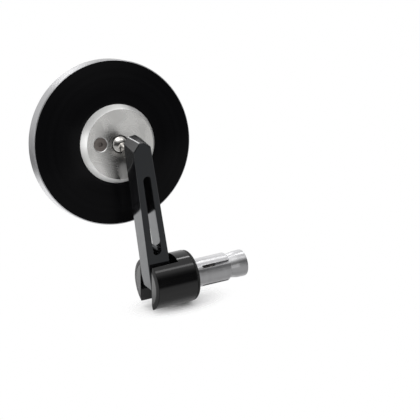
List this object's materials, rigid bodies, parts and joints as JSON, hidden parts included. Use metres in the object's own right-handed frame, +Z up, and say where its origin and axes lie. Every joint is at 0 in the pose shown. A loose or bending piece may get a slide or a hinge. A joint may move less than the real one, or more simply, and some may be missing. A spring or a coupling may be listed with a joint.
{
  "type": "motorcycle bar end mirror",
  "caption": "Round convex mirror in a domed metal housing, on a ball joint at the end of a slotted arm that pivots in a forked clamp with a bar end expander.",
  "frame": {"origin": "on the handlebar's axis, at the end of the bar, where the clamp's rubber ring rests", "axes": "+X along the bar and into it, +Z up, -Y the arm's front, away from the mirror head"},
  "size_m": [0.1202, 0.0778, 0.1437],
  "materials": {
    "clamp_black": "gloss black anodised, turned",
    "arm_black": "satin black anodised, milled",
    "housing_black": "satin black anodised, with a bright-cut rim",
    "turned_aluminium": "turned and clear anodised",
    "nickel": "polished nickel plate",
    "stainless": "plain stainless",
    "expander_alloy": "plain turned",
    "ring_rubber": "matt black",
    "acetal": "black acetal",
    "bronze": "plain sintered bronze",
    "mirror_glass": "silvered convex glass",
    "foam": "matt black foam"
  },
  "bodies": {
    "expander": {"expander_sleeve": "expander_alloy"},
    "cone": {"cone_nut": "expander_alloy"},
    "bolt": {"bar_bolt": "stainless", "bolt_washer": "stainless"},
    "clamp": {"clamp_body": "clamp_black", "bar_end_ring": "ring_rubber", "pivot_screw": "stainless", "rear_washer": "acetal", "front_washer": "acetal", "disc_springs": "stainless"},
    "arm": {"arm": "arm_black", "pivot_bush": "bronze", "ball_stud": "nickel"},
    "pan_seat": {"seat_cup": "acetal"},
    "tilt_seat": {"seat_ring": "acetal"},
    "head": {"mirror_housing": "housing_black", "ball_cap": "turned_aluminium", "cap_screw": "stainless", "seat_rubber": "ring_rubber", "mirror_glass": "mirror_glass", "glass_pad": "foam"}
  },
  "joints": [
    {"name": "clamp_swivel", "type": "hinge", "parent": "expander", "child": "clamp", "pos_m": [0, 0, 0], "axis": [1, 0, 0], "continuous": true},
    {"name": "arm_pivot", "type": "hinge", "parent": "clamp", "child": "arm", "pos_m": [-0.0207, 0, 0], "axis": [0, 1, 0], "range_deg": [-175, 14]},
    {"name": "head_pan", "type": "hinge", "parent": "arm", "child": "pan_seat", "pos_m": [-0.03211, 0.02845, 0.08221], "axis": [0, 0, 1], "range_deg": [-12.4, 23.6]},
    {"name": "head_tilt", "type": "hinge", "parent": "pan_seat", "child": "tilt_seat", "pos_m": [-0.03211, 0.02845, 0.08221], "axis": [0.9952, -0.0976, 0], "range_deg": [-2.5, 33.5]},
    {"name": "head_spin", "type": "hinge", "parent": "tilt_seat", "child": "head", "pos_m": [-0.03211, 0.02845, 0.08221], "axis": [-0.094, -0.959, 0.2672], "continuous": true},
    {"name": "bolt_turn", "type": "hinge", "parent": "expander", "child": "bolt", "pos_m": [0, 0, 0], "axis": [-1, 0, 0], "range_deg": [0, 1080]},
    {"name": "cone_slide", "type": "slide", "parent": "expander", "child": "cone", "axis": [1, 0, 0], "range_m": [0, 0.003]}
  ],
  "couplings": [
    {"joint": "cone_slide", "follows": "bolt_turn", "m_per_rad": 0.00015915}
  ]
}
